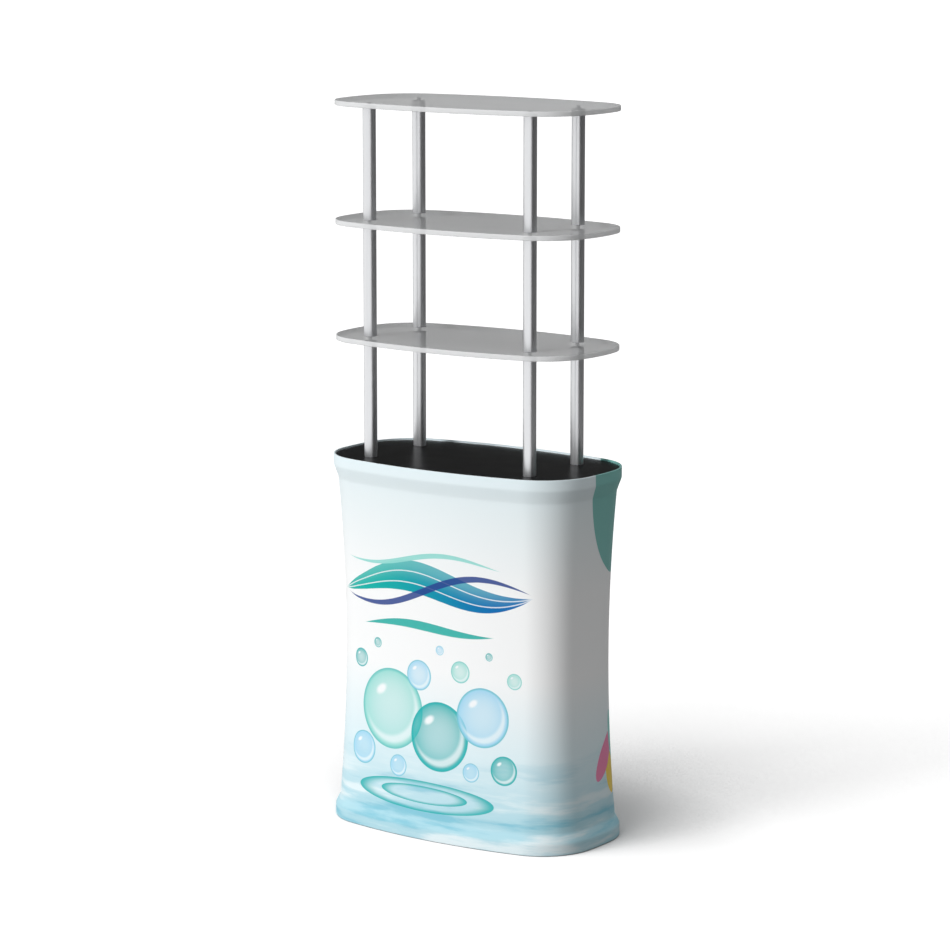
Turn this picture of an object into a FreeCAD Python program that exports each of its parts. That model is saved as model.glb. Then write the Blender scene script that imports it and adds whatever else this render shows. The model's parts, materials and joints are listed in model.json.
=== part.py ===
import FreeCAD, Part
import math
import os
import Sketcher

# Display stand: an oval counter with a stretched fabric sleeve and three shelves on four posts.
# Millimetres. X runs along the width, the front faces -Y, Z is up, and z = 0 is the floor.

doc = FreeCAD.newDocument("DisplayStand")
sheet = doc.addObject("Spreadsheet::Sheet", "Sizes")

# Driving dimensions: name, value, meaning
DIMENSIONS = [
    ("counter_height", 1028, "floor to the rim of the counter"),
    ("counter_length", 828, "outside of the sleeve at the rings, along X"),
    ("counter_depth", 464, "outside of the sleeve at the rings, along Y"),
    ("counter_side_radius", 1480, "long sides of the counter's oval"),
    ("counter_end_radius", 950, "ends of the counter's oval"),
    ("counter_corner_radius", 159, "corners of the counter's oval"),
    ("fabric_thickness", 1, "stretch fabric with its backing"),
    ("fabric_edge_round", 2.5, "round where the sleeve turns in above the floor"),
    ("waist_inset", 33, "how far the sleeve is drawn in halfway up"),
    ("band_inset", 13, "how far it is drawn in just clear of a ring"),
    ("upper_slope", 36, "height over which it leaves the top ring"),
    ("lower_slope", 25, "height over which it leaves the bottom ring"),
    ("hem_clearance", 1.5, "floor to the underside of the hem"),
    ("hem_width", 18, "hem turned in under the bottom ring"),
    ("strip_thickness", 1.5, "grip strip between ring and hem"),
    ("strip_width", 12, "grip strip between ring and hem"),
    ("ring_height", 29, "upright wall of each ring"),
    ("ring_wall", 3, "upright wall of each ring"),
    ("ledge_thickness", 3, "flat ledge of each ring"),
    ("panel_recess", 5, "rim down to the black panel"),
    ("top_panel_thickness", 18, "black panel"),
    ("base_panel_thickness", 15, "floor panel"),
    ("panel_gap", 0.3, "round the edge of each panel"),
    ("foot_diameter", 40, "pads under the floor panel"),
    ("foot_side_x", 180, "pads under the long sides, from the middle"),
    ("foot_side_y", 160, "pads under the long sides, from the middle"),
    ("foot_end_x", 340, "pads under the ends, from the middle"),
    ("shelf_length", 812, "along X"),
    ("shelf_depth", 443, "along Y"),
    ("shelf_side_radius", 1470, "long sides of the shelf's oval"),
    ("shelf_end_radius", 452, "ends of the shelf's oval"),
    ("shelf_corner_radius", 141, "corners of the shelf's oval"),
    ("shelf_thickness", 14, "frosted acrylic"),
    ("shelf_chamfer", 1, "broken edges of the shelves"),
    ("post_diameter", 36, "outside of the tubes that carry the shelves"),
    ("post_wall", 2, "wall of those tubes"),
    ("post_spacing_x", 529, "between post centres"),
    ("post_spacing_y", 227, "between post centres"),
    ("post_shift_x", -8, "middle of the four posts from the middle of the ovals"),
    ("post_shift_y", -3, "middle of the four posts from the middle of the ovals"),
    ("lower_post_length", 321, "black panel to the lower shelf"),
    ("middle_post_length", 304, "lower shelf to the middle shelf"),
    ("upper_post_length", 310, "middle shelf to the top shelf"),
    ("upright_diameter", 30, "tubes inside the counter, under the posts"),
    ("upright_wall", 2, "wall of those tubes"),
    ("plug_length", 20, "threaded plug pressed into each tube end"),
    ("plug_gap", 0.05, "round a plug in its tube"),
    ("stud_diameter", 10, "studs through panel and shelves"),
    ("stud_grip", 15, "length of stud in a plug"),
    ("thread_gap", 0.1, "round a stud in its plug"),
    ("hole_gap", 0.5, "round a stud in a shelf or panel"),
    ("top_shelf_skin", 5, "acrylic left above a stud in the top shelf"),
    ("bolt_head_diameter", 20, "bolts up into the uprights"),
    ("bolt_head_height", 6, "sunk in the floor panel"),
    ("screw_diameter", 4, "screws from a ring's ledge into its panel"),
    ("screw_bite", 10, "length of such a screw in the panel"),
    ("screw_head_diameter", 8, "under the ledge"),
    ("screw_head_height", 2, "under the ledge"),
    ("screw_clearance", 1, "from the hem to the screw heads beside it"),
    ("screw_edge", 10, "screw centre to the ledge's inner edge"),
    ("screw_gap", 0.25, "round a screw in its ledge hole"),
]

# Levels and insets that follow from them
DERIVED = [
    ("lip_inset", "2 * fabric_thickness + ring_wall", "inner face of the fabric lip"),
    ("panel_inset", "lip_inset + panel_gap", "edge of the black panel"),
    ("base_panel_inset", "fabric_thickness + ring_wall + panel_gap", "edge of the floor panel"),
    ("screw_inset", "hem_width + screw_clearance + screw_head_diameter / 2", "line of the ring screws"),
    ("ledge_inset", "screw_inset + screw_edge", "inner edge of the ledges"),
    ("top_ring_top", "counter_height - fabric_thickness", "under the fabric lip"),
    ("top_ring_bottom", "top_ring_top - ring_height", "lower edge of the top ring"),
    ("bottom_ring_bottom", "hem_clearance + fabric_thickness + strip_thickness", "on the strip"),
    ("bottom_ring_top", "bottom_ring_bottom + ring_height", "upper edge of the bottom ring"),
    ("panel_top", "counter_height - panel_recess", "black surface that the posts stand on"),
    ("panel_bottom", "panel_top - top_panel_thickness", "on the top ring's ledge"),
    ("base_bottom", "bottom_ring_bottom + ledge_thickness", "on the bottom ring's ledge"),
    ("base_top", "base_bottom + base_panel_thickness", "where the uprights stand"),
    ("lower_shelf_bottom", "panel_top + lower_post_length", "on the lower posts"),
    ("middle_post_bottom", "lower_shelf_bottom + shelf_thickness", "on the lower shelf"),
    ("middle_shelf_bottom", "middle_post_bottom + middle_post_length", "on the middle posts"),
    ("upper_post_bottom", "middle_shelf_bottom + shelf_thickness", "on the middle shelf"),
    ("top_shelf_bottom", "upper_post_bottom + upper_post_length", "on the upper posts"),
    ("plug_bore", "stud_diameter + 2 * thread_gap", "tapped hole of a plug"),
    ("stud_hole", "stud_diameter + 2 * hole_gap", "stud hole in a shelf or panel"),
]

for row, (name, value, meaning) in enumerate(DIMENSIONS + DERIVED, start=1):
    sheet.set("A%d" % row, meaning)
    sheet.set("B%d" % row, str(value) if row <= len(DIMENSIONS) else "=" + value)
    sheet.setAlias("B%d" % row, name)
doc.recompute()

CORNERS = {"front_left": (-1, -1), "front_right": (1, -1), "back_left": (-1, 1), "back_right": (1, 1)}
UP = FreeCAD.Vector(0, 0, 1)


def size(name):
    """Present value of a cell."""
    return float(getattr(sheet, name))


def cell(expression):
    """The same expression with each cell's name led by the sheet's."""
    words = {name for name, value, meaning in DIMENSIONS + DERIVED}
    return " ".join("Sizes." + word if word in words else word for word in expression.split())


def bind(thing, **expressions):
    """Tie properties to cells; a double underscore stands for a point in a property's path."""
    for path, expression in expressions.items():
        thing.setExpression(path.replace("__", "."), cell(expression))


def corner_point(side_x, side_y):
    """Expressions of the centre of one of the four posts."""
    return ("post_shift_x + %d * post_spacing_x / 2" % side_x,
            "post_shift_y + %d * post_spacing_y / 2" % side_y)


# Ovals: two long arcs, two end arcs and four corner arcs, each tangent to the next

def oval_arcs(family, inset):
    """Arcs of the oval of a family, drawn in by inset: centre, radius, start and end angle."""
    half_length = size(family + "_length") / 2 - inset
    half_depth = size(family + "_depth") / 2 - inset
    side_radius = size(family + "_side_radius") - inset
    end_radius = size(family + "_end_radius") - inset
    corner_radius = size(family + "_corner_radius") - inset
    side_centre = half_depth - side_radius
    end_centre = half_length - end_radius
    # The corner's centre lies at known distances from the centres of the side and the end
    to_side = side_radius - corner_radius
    to_end = end_radius - corner_radius
    apart = math.hypot(end_centre, side_centre)
    along = (apart ** 2 + to_side ** 2 - to_end ** 2) / (2 * apart)
    across = math.sqrt(to_side ** 2 - along ** 2)
    ahead_x, ahead_y = end_centre / apart, -side_centre / apart
    choices = [(along * ahead_x - turn * across * ahead_y,
                side_centre + along * ahead_y + turn * across * ahead_x) for turn in (-1, 1)]
    corner_x, corner_y = max(choices, key=sum)
    end_angle = math.atan2(corner_y, corner_x - end_centre)
    side_angle = math.atan2(corner_y - side_centre, corner_x)
    full = 2 * math.pi
    return [
        ((end_centre, 0), end_radius, -end_angle, end_angle),
        ((corner_x, corner_y), corner_radius, end_angle, side_angle),
        ((0, side_centre), side_radius, side_angle, math.pi - side_angle),
        ((-corner_x, corner_y), corner_radius, math.pi - side_angle, math.pi - end_angle),
        ((-end_centre, 0), end_radius, math.pi - end_angle, math.pi + end_angle),
        ((-corner_x, -corner_y), corner_radius, math.pi + end_angle, math.pi + side_angle),
        ((0, -side_centre), side_radius, math.pi + side_angle, full - side_angle),
        ((corner_x, -corner_y), corner_radius, full - side_angle, full - end_angle),
    ]


def oval_wire(family, inset, height):
    """Closed wire of the oval at a height."""
    edges = []
    for (x, y), radius, start, end in oval_arcs(family, inset):
        circle = Part.Circle(FreeCAD.Vector(x, y, height), UP, radius)
        edges.append(Part.ArcOfCircle(circle, start, end).toShape())
    return Part.Wire(edges)


def oval_prism(family, inset, bottom, top):
    """Upright solid with the oval as its outline."""
    return Part.Face(oval_wire(family, inset, bottom)).extrude(FreeCAD.Vector(0, 0, top - bottom))


def add_oval(sketch, family, inset):
    """Draw the oval in a sketch; its radii and centres follow the sheet."""
    value = float(sketch.evalExpression(cell(inset)))
    arcs = oval_arcs(family, value)
    first = sketch.GeometryCount
    for (x, y), radius, start, end in arcs:
        circle = Part.Circle(FreeCAD.Vector(x, y, 0), UP, radius)
        sketch.addGeometry(Part.ArcOfCircle(circle, start, end), False)
    ids = [first + place for place in range(len(arcs))]
    for here, after in zip(ids, ids[1:] + ids[:1]):
        sketch.addConstraint(Sketcher.Constraint("Tangent", here, 2, after, 1))
    kinds = {0: "end", 1: "corner", 2: "side", 3: "corner", 4: "end", 5: "corner", 6: "side", 7: "corner"}
    for place, kind in kinds.items():
        index = sketch.addConstraint(Sketcher.Constraint("Radius", ids[place], arcs[place][1]))
        sketch.setExpression("Constraints[%d]" % index, cell("%s_%s_radius - ( %s )" % (family, kind, inset)))
    # Each long arc is centred on the Y axis and each end arc on the X axis
    for place, axis, half, sign in ((2, "Y", "depth", 1), (6, "Y", "depth", -1),
                                    (0, "X", "length", 1), (4, "X", "length", -1)):
        on_axis = -2 if axis == "Y" else -1
        kind = kinds[place]
        sketch.addConstraint(Sketcher.Constraint("PointOnObject", ids[place], 3, on_axis))
        centre = arcs[place][0][1] if axis == "Y" else arcs[place][0][0]
        index = sketch.addConstraint(
            Sketcher.Constraint("Distance" + axis, -1, 1, ids[place], 3, centre))
        text = "%d * ( %s_%s / 2 - %s_%s_radius )" % (sign, family, half, family, kind)
        sketch.setExpression("Constraints[%d]" % index, cell(text))


def add_circle(sketch, x, y, diameter):
    """Draw a circle in a sketch from expressions of its centre and diameter."""
    place_x, place_y, across = (float(sketch.evalExpression(cell(text))) for text in (x, y, diameter))
    circle = Part.Circle(FreeCAD.Vector(place_x, place_y, 0), UP, across / 2)
    geometry = sketch.addGeometry(circle, False)
    for kind, value, text in (("DistanceX", place_x, x), ("DistanceY", place_y, y)):
        index = sketch.addConstraint(Sketcher.Constraint(kind, -1, 1, geometry, 3, value))
        sketch.setExpression("Constraints[%d]" % index, cell(text))
    index = sketch.addConstraint(Sketcher.Constraint("Diameter", geometry, across))
    sketch.setExpression("Constraints[%d]" % index, cell(diameter))


# Bodies, sketches and features

nodes = []


def new_body(name):
    body = doc.addObject("PartDesign::Body", name)
    body.Label = name
    nodes.append(body)
    return body


def flat_sketch(body, name, height):
    """Sketch on the body's XY plane, raised to a height."""
    sketch = body.newObject("Sketcher::SketchObject", name)
    plane = [item for item in body.Origin.OriginFeatures if item.Role == "XY_Plane"][0]
    sketch.AttachmentSupport = [(plane, "")]
    sketch.MapMode = "FlatFace"
    bind(sketch, AttachmentOffset__Base__z=height)
    return sketch


def pad(body, sketch, length):
    feature = body.newObject("PartDesign::Pad", sketch.Name + "_pad")
    feature.Profile = sketch
    bind(feature, Length=length)
    sketch.Visibility = False
    return feature


def pocket(body, sketch, length):
    """Cut upwards from the sketch's plane."""
    feature = body.newObject("PartDesign::Pocket", sketch.Name + "_pocket")
    feature.Profile = sketch
    feature.Reversed = True
    bind(feature, Length=length)
    sketch.Visibility = False
    return feature


def oval_pad(body, name, family, insets, height, length):
    """Upright plate or band between one or two ovals."""
    sketch = flat_sketch(body, name, height)
    for inset in insets:
        add_oval(sketch, family, inset)
    return pad(body, sketch, length)


def four_holes(body, name, diameter, height, depth):
    """A hole under each post, cut upwards from a height."""
    sketch = flat_sketch(body, name, height)
    for side_x, side_y in CORNERS.values():
        x, y = corner_point(side_x, side_y)
        add_circle(sketch, x, y, diameter)
    return pocket(body, sketch, depth)


def break_edges(body, feature, amount):
    """Chamfer the outline of a plate's two flat faces, the holes left sharp."""
    doc.recompute()
    box = feature.Shape.BoundBox
    hole = size("stud_hole")
    names = []
    for number, edge in enumerate(feature.Shape.Edges, start=1):
        level = edge.BoundBox.ZLength < 1e-6 and (
            abs(edge.BoundBox.ZMin - box.ZMin) < 1e-6 or abs(edge.BoundBox.ZMin - box.ZMax) < 1e-6)
        if level and edge.Curve.Radius > hole:
            names.append("Edge%d" % number)
    chamfer = body.newObject("PartDesign::Chamfer", feature.Name + "_edges")
    chamfer.Base = (feature, names)
    bind(chamfer, Size=amount)
    return chamfer


def tube(name, x, y, bottom, length, diameter, wall):
    body = new_body(name)
    sketch = flat_sketch(body, name + "_section", bottom)
    add_circle(sketch, "0", "0", diameter)
    add_circle(sketch, "0", "0", "%s - 2 * %s" % (diameter, wall))
    pad(body, sketch, length)
    bind(body, Placement__Base__x=x, Placement__Base__y=y)
    return body


def cylinder(name, diameter, length, x, y, bottom):
    shape = doc.addObject("Part::Cylinder", name)
    bind(shape, Radius="( %s ) / 2" % diameter, Height=length,
         Placement__Base__x=x, Placement__Base__y=y, Placement__Base__z=bottom)
    return shape


def group(name, members):
    """Like pieces that share one node."""
    compound = doc.addObject("Part::Compound", name)
    compound.Links = members
    compound.Label = name
    nodes.append(compound)
    return compound


def cut(name, base, tool):
    shape = doc.addObject("Part::Cut", name)
    shape.Base, shape.Tool = base, tool
    return shape


def fuse(name, base, tool):
    shape = doc.addObject("Part::Fuse", name)
    shape.Base, shape.Tool = base, tool
    return shape


# Fabric sleeve

def sleeve_profile():
    """Heights and insets of the sleeve's outside, from the hem to the rim."""
    band_bottom, band_top = size("bottom_ring_top"), size("top_ring_bottom")
    low = band_bottom + size("lower_slope")
    high = band_top - size("upper_slope")
    middle, half = (low + high) / 2, (high - low) / 2
    draw = size("waist_inset") - size("band_inset")
    hem, edge = size("hem_clearance"), size("fabric_edge_round")
    profile = [(hem, edge), (hem + edge * 0.3, edge * 0.3), (hem + edge, 0), (band_bottom, 0)]
    # Between the slopes the inset follows a parabola that is deepest halfway
    steps = 10
    for step in range(steps + 1):
        height = low + (high - low) * step / steps
        share = (height - middle) / half
        profile.append((height, size("band_inset") + draw * (1 - share ** 2)))
    rim = size("fabric_thickness")
    profile += [(band_top, 0), (size("counter_height") - rim, 0), (size("counter_height"), rim * 0.6)]
    return profile


def fabric_sleeve():
    """Closed skin over both rings, turned down inside the rim and turned in under the base."""
    thickness = size("fabric_thickness")
    outside = sleeve_profile()
    bottom, top = size("hem_clearance"), size("counter_height")
    inside = [(height, inset + thickness) for height, inset in outside
              if bottom + thickness < height < top - thickness]
    first = (bottom + thickness, max(thickness, outside[0][1]))
    last = (top - thickness, thickness)
    inside = [first] + inside + [last]
    skin = Part.makeLoft([oval_wire("counter", inset, height) for height, inset in outside], True, True)
    hollow = Part.makeLoft([oval_wire("counter", inset, height) for height, inset in inside], True, True)
    mouth = oval_prism("counter", size("lip_inset"), top - thickness, top)
    underside = oval_prism("counter", size("hem_width"), bottom, bottom + thickness)
    skin = skin.cut(hollow).cut(mouth).cut(underside)
    lip = oval_prism("counter", size("lip_inset") - thickness, size("panel_bottom"), top - thickness)
    lip = lip.cut(oval_prism("counter", size("lip_inset"), size("panel_bottom"), top - thickness))
    shape = skin.fuse(lip)
    feature = doc.addObject("Part::Feature", "fabric_sleeve")
    feature.Shape = shape.Solids[0] if len(shape.Solids) == 1 else shape
    feature.Placement = FreeCAD.Placement()
    feature.Label = "fabric_sleeve"
    nodes.append(feature)


# Rings, strip and panels of the counter

def ring_screw_places():
    """Middles of the eight arcs of the oval on which the ring screws lie."""
    places = []
    for (x, y), radius, start, end in oval_arcs("counter", size("screw_inset")):
        middle = (start + end) / 2
        places.append((x + radius * math.cos(middle), y + radius * math.sin(middle)))
    return places


def ring(name, wall_bottom, ledge_bottom):
    """Upright wall with a flat ledge inside, drilled for the screws that hold the panel."""
    body = new_body(name)
    face = "fabric_thickness"
    back = "fabric_thickness + ring_wall"
    oval_pad(body, name + "_wall", "counter", (face, back), wall_bottom, "ring_height")
    oval_pad(body, name + "_ledge", "counter", (face, "ledge_inset"), ledge_bottom, "ledge_thickness")
    holes = flat_sketch(body, name + "_holes", ledge_bottom)
    for x, y in ring_screw_places():
        add_circle(holes, "%.4f" % x, "%.4f" % y, "screw_diameter + 2 * screw_gap")
    pocket(body, holes, "ledge_thickness")


def ring_screws(name, ledge_bottom):
    """Pan-head screws up through a ledge into the panel on it."""
    screws = []
    for number, (x, y) in enumerate(ring_screw_places(), start=1):
        place = ("%.4f" % x, "%.4f" % y)
        shank = cylinder("%s_shank_%d" % (name, number), "screw_diameter",
                         "ledge_thickness + screw_bite", *place, ledge_bottom)
        head = cylinder("%s_head_%d" % (name, number), "screw_head_diameter", "screw_head_height",
                        *place, ledge_bottom + " - screw_head_height")
        screws.append(fuse("%s_%d" % (name, number), shank, head))
    group(name, screws)


def screw_holes(body, name, height):
    """Pilot holes in a panel's underside, the size of the screws."""
    holes = flat_sketch(body, name, height)
    for x, y in ring_screw_places():
        add_circle(holes, "%.4f" % x, "%.4f" % y, "screw_diameter")
    pocket(body, holes, "screw_bite")


def top_panel():
    """Black panel, flush on the top ring's ledge, with a stud hole under each post."""
    body = new_body("top_panel")
    oval_pad(body, "top_panel_plate", "counter", ("panel_inset",), "panel_bottom", "top_panel_thickness")
    screw_holes(body, "top_panel_pilots", "panel_bottom")
    four_holes(body, "top_panel_holes", "stud_hole", "panel_bottom", "top_panel_thickness")


def base_panel():
    """Floor panel with a stepped hole for each upright's bolt."""
    body = new_body("base_panel")
    oval_pad(body, "base_panel_plate", "counter", ("base_panel_inset",), "base_bottom",
             "base_panel_thickness")
    screw_holes(body, "base_panel_pilots", "base_bottom")
    four_holes(body, "base_panel_holes", "stud_hole", "base_bottom", "base_panel_thickness")
    four_holes(body, "base_panel_sinks", "bolt_head_diameter + 2 * hole_gap", "base_bottom",
               "bolt_head_height")


def grip_strip():
    """Hook strip on the underside of the bottom ring, which holds the hem."""
    body = new_body("hem_grip_strip")
    outer = "hem_width - strip_width"
    oval_pad(body, "hem_grip_strip_band", "counter", (outer, "hem_width"),
             "hem_clearance + fabric_thickness", "strip_thickness")


def feet():
    """Rubber pads under the floor panel, inside the bottom ring's ledge."""
    places = [("%d * foot_side_x" % x, "%d * foot_side_y" % y) for x in (-1, 1) for y in (-1, 1)]
    places += [("%d * foot_end_x" % x, "0") for x in (-1, 1)]
    pads = []
    for number, (x, y) in enumerate(places, start=1):
        pads.append(cylinder("foot_%d" % number, "foot_diameter", "base_bottom", x, y, "0"))
    group("base_feet", pads)


# Tubes, plugs, studs and bolts

def plug(name, side_x, side_y, bottom, tube_inside):
    """Round plug with a tapped hole."""
    x, y = corner_point(side_x, side_y)
    core = cylinder(name + "_core", "%s - 2 * plug_gap" % tube_inside, "plug_length", x, y, bottom)
    bore = cylinder(name + "_bore", "plug_bore", "plug_length", x, y, bottom)
    return cut(name, core, bore)


def tube_set(prefix, bottom, length, diameter, wall):
    """Four tubes and the plugs in their eight ends."""
    plugs = []
    for corner, (side_x, side_y) in CORNERS.items():
        x, y = corner_point(side_x, side_y)
        tube("%s_%s" % (prefix, corner), x, y, bottom, length, diameter, wall)
        inside = "%s - 2 * %s" % (diameter, wall)
        top = "%s + %s - plug_length" % (bottom, length)
        plugs.append(plug("%s_%s_foot_plug" % (prefix, corner), side_x, side_y, bottom, inside))
        plugs.append(plug("%s_%s_head_plug" % (prefix, corner), side_x, side_y, top, inside))
    group(prefix + "_plugs", plugs)


def studs(name, bottom, length):
    """A plain stud on each post's axis."""
    pieces = []
    for corner, (side_x, side_y) in CORNERS.items():
        x, y = corner_point(side_x, side_y)
        pieces.append(cylinder("%s_%s" % (name, corner), "stud_diameter", length, x, y, bottom))
    group(name, pieces)


def upright_bolts():
    """Bolts up through the floor panel into the uprights, heads sunk in the panel."""
    bolts = []
    for corner, (side_x, side_y) in CORNERS.items():
        x, y = corner_point(side_x, side_y)
        shank = cylinder("bolt_shank_" + corner, "stud_diameter", "base_panel_thickness + stud_grip",
                         x, y, "base_bottom")
        head = cylinder("bolt_head_" + corner, "bolt_head_diameter", "bolt_head_height", x, y, "base_bottom")
        bolts.append(fuse("bolt_" + corner, shank, head))
    group("upright_bolts", bolts)


# Shelves

def shelf(name, bottom, stud_depth):
    """Oval acrylic plate with a stud hole over each post, cut from below."""
    body = new_body(name)
    plate = oval_pad(body, name + "_plate", "shelf", ("0",), bottom, "shelf_thickness")
    plate = break_edges(body, plate, "shelf_chamfer")
    four_holes(body, name + "_holes", "stud_hole", bottom, stud_depth)


fabric_sleeve()
ring("top_ring", "top_ring_bottom", "panel_bottom - ledge_thickness")
ring("bottom_ring", "bottom_ring_bottom", "bottom_ring_bottom")
ring_screws("top_ring_screws", "panel_bottom - ledge_thickness")
ring_screws("bottom_ring_screws", "bottom_ring_bottom")
grip_strip()
top_panel()
base_panel()
feet()
upright_bolts()
tube_set("upright", "base_top", "panel_bottom - base_top", "upright_diameter", "upright_wall")
tube_set("lower_post", "panel_top", "lower_post_length", "post_diameter", "post_wall")
tube_set("middle_post", "middle_post_bottom", "middle_post_length", "post_diameter", "post_wall")
tube_set("upper_post", "upper_post_bottom", "upper_post_length", "post_diameter", "post_wall")
studs("panel_studs", "panel_bottom - stud_grip", "top_panel_thickness + 2 * stud_grip")
studs("lower_shelf_studs", "lower_shelf_bottom - stud_grip", "shelf_thickness + 2 * stud_grip")
studs("middle_shelf_studs", "middle_shelf_bottom - stud_grip", "shelf_thickness + 2 * stud_grip")
studs("top_shelf_studs", "top_shelf_bottom - stud_grip", "stud_grip + shelf_thickness - top_shelf_skin")
shelf("lower_shelf", "lower_shelf_bottom", "shelf_thickness")
shelf("middle_shelf", "middle_shelf_bottom", "shelf_thickness")
shelf("top_shelf", "top_shelf_bottom", "shelf_thickness - top_shelf_skin")

doc.recompute()
faults = [item.Label for item in doc.Objects if "Invalid" in item.State or "Error" in item.State]
faults += [node.Label for node in nodes if node.Shape.isNull() or not node.Shape.isValid()]
if faults:
    raise RuntimeError("these objects failed: " + ", ".join(faults))

os.makedirs("parts", exist_ok=True)
for node in nodes:
    node.Shape.exportStep(os.path.join("parts", node.Label + ".step"))
    print("%-28s %2d solids %12.0f mm3" % (node.Label, len(node.Shape.Solids), node.Shape.Volume))
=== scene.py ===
import bpy
import json
import math
import numpy as np
from mathutils import Matrix, Vector


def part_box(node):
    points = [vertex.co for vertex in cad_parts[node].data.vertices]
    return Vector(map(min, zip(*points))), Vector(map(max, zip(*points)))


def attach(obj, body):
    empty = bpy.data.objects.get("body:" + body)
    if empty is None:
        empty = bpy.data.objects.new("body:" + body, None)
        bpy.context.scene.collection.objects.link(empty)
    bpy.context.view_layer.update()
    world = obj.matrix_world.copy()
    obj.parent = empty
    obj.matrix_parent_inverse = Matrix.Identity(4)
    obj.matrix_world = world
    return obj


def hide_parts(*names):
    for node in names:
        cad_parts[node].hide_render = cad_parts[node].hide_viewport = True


# Display stand: a waisted fabric counter with a black top, four brushed posts and three frosted shelves.
# Metres. The front faces -Y, X runs along the width and Z is up.

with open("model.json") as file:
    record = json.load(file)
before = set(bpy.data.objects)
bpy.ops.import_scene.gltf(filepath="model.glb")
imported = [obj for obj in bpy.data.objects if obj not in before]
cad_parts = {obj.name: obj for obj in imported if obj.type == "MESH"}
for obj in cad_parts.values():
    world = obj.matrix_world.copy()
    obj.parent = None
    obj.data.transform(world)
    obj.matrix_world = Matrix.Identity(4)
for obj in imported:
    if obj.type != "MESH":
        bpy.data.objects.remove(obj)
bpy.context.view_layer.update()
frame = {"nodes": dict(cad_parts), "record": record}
nodes = frame["nodes"]
print("frame loaded:", len(nodes), "nodes")


# Mesh helpers

def smoothStep(low, high, value):
    t = np.clip((value - low) / (high - low), 0, 1)
    return t * t * (3 - 2 * t)


def gridFaces(rows, columns, closedRows=False):
    # Quads of a grid whose columns run round and close; the rows may close too
    rowCount = rows if closedRows else rows - 1
    row, column = np.meshgrid(np.arange(rowCount), np.arange(columns), indexing="ij")
    nextRow, nextColumn = (row + 1) % rows, (column + 1) % columns
    quads = np.stack([row * columns + column, row * columns + nextColumn,
                      nextRow * columns + nextColumn, nextRow * columns + column], -1)
    return quads.reshape(-1, 4)


def makeMesh(name, points, faces):
    mesh = bpy.data.meshes.new(name)
    mesh.from_pydata(points.reshape(-1, 3).tolist(), [], faces)
    mesh.polygons.foreach_set("use_smooth", np.ones(len(mesh.polygons), bool))
    mesh.validate()
    piece = bpy.data.objects.new(name, mesh)
    bpy.context.scene.collection.objects.link(piece)
    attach(piece, "root")
    return piece


# Ovals: eight arcs, each tangent to the next, walked from the middle of the back past the left end

def ovalWalk(shape, count):
    # Steps of equal arc length. For each: the arc's centre, its radius and the angle on it; then the whole
    # length. A corner's centre lies where circles round the side's and the end's centres meet, each as wide
    # as the difference of the two radii.
    sideY = shape["halfDepth"] - shape["sideRadius"]
    endX = shape["halfLength"] - shape["endRadius"]
    toSide = shape["sideRadius"] - shape["cornerRadius"]
    toEnd = shape["endRadius"] - shape["cornerRadius"]
    apart = math.hypot(endX, sideY)
    along = (apart ** 2 + toSide ** 2 - toEnd ** 2) / (2 * apart)
    across = math.sqrt(toSide ** 2 - along ** 2)
    aheadX, aheadY = endX / apart, -sideY / apart
    meetings = [(along * aheadX - turn * across * aheadY, sideY + along * aheadY + turn * across * aheadX)
                for turn in (-1, 1)]
    cornerX, cornerY = max(meetings, key=sum)
    endAngle = math.atan2(cornerY, cornerX - endX)
    sideAngle = math.atan2(cornerY - sideY, cornerX)
    half, full = math.pi, 2 * math.pi
    side, corner, end = shape["sideRadius"], shape["cornerRadius"], shape["endRadius"]
    arcs = np.array([
        (0, sideY, side, half / 2, half - sideAngle),
        (-cornerX, cornerY, corner, half - sideAngle, half - endAngle),
        (-endX, 0, end, half - endAngle, half + endAngle),
        (-cornerX, -cornerY, corner, half + endAngle, half + sideAngle),
        (0, -sideY, side, half + sideAngle, full - sideAngle),
        (cornerX, -cornerY, corner, full - sideAngle, full - endAngle),
        (endX, 0, end, full - endAngle, full + endAngle),
        (cornerX, cornerY, corner, full + endAngle, full + sideAngle),
        (0, sideY, side, full + sideAngle, full + half / 2),
    ])
    lengths = arcs[:, 2] * (arcs[:, 4] - arcs[:, 3])
    starts = np.concatenate([[0], np.cumsum(lengths)])
    walked = np.arange(count) / count * starts[-1]
    which = np.clip(np.searchsorted(starts, walked, side="right") - 1, 0, len(arcs) - 1)
    angle = arcs[which, 3] + (walked - starts[which]) / arcs[which, 2]
    return arcs[which, 0], arcs[which, 1], arcs[which, 2], angle, starts[-1]


def ovalSurface(walk, heights, insets, proud=0):
    # Rows are the oval drawn in by each inset at each height; proud pushes points outwards
    centreX, centreY, radius, angle, total = walk
    reach = radius[None, :] - np.asarray(insets)[:, None] + proud
    x = centreX[None, :] + reach * np.cos(angle)[None, :]
    y = centreY[None, :] + reach * np.sin(angle)[None, :]
    z = np.broadcast_to(np.asarray(heights)[:, None], x.shape)
    return np.stack([x, y, z], -1)


def arcSteps(centreInset, centreHeight, radius, start, end, steps=6):
    # Points of a quarter round in the plane of inset and height; angle 0 points outwards, 90 degrees up
    angle = np.radians(np.linspace(start, end, steps))
    return np.stack([centreInset - radius * np.cos(angle), centreHeight + radius * np.sin(angle)], -1)


# Material helpers

grainHeight = 0.0002  # depth of every fine bump


def newMaterial(name):
    material = bpy.data.materials.new(name)
    material.use_nodes = True
    tree = material.node_tree
    shader = tree.nodes["Principled BSDF"]
    return material, tree, shader


def node(tree, kind, **settings):
    made = tree.nodes.new(kind)
    for key, value in settings.items():
        setattr(made, key, value)
    return made


def feed(tree, socket, value):
    if isinstance(value, bpy.types.NodeSocket):
        tree.links.new(value, socket)
    else:
        socket.default_value = value


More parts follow.
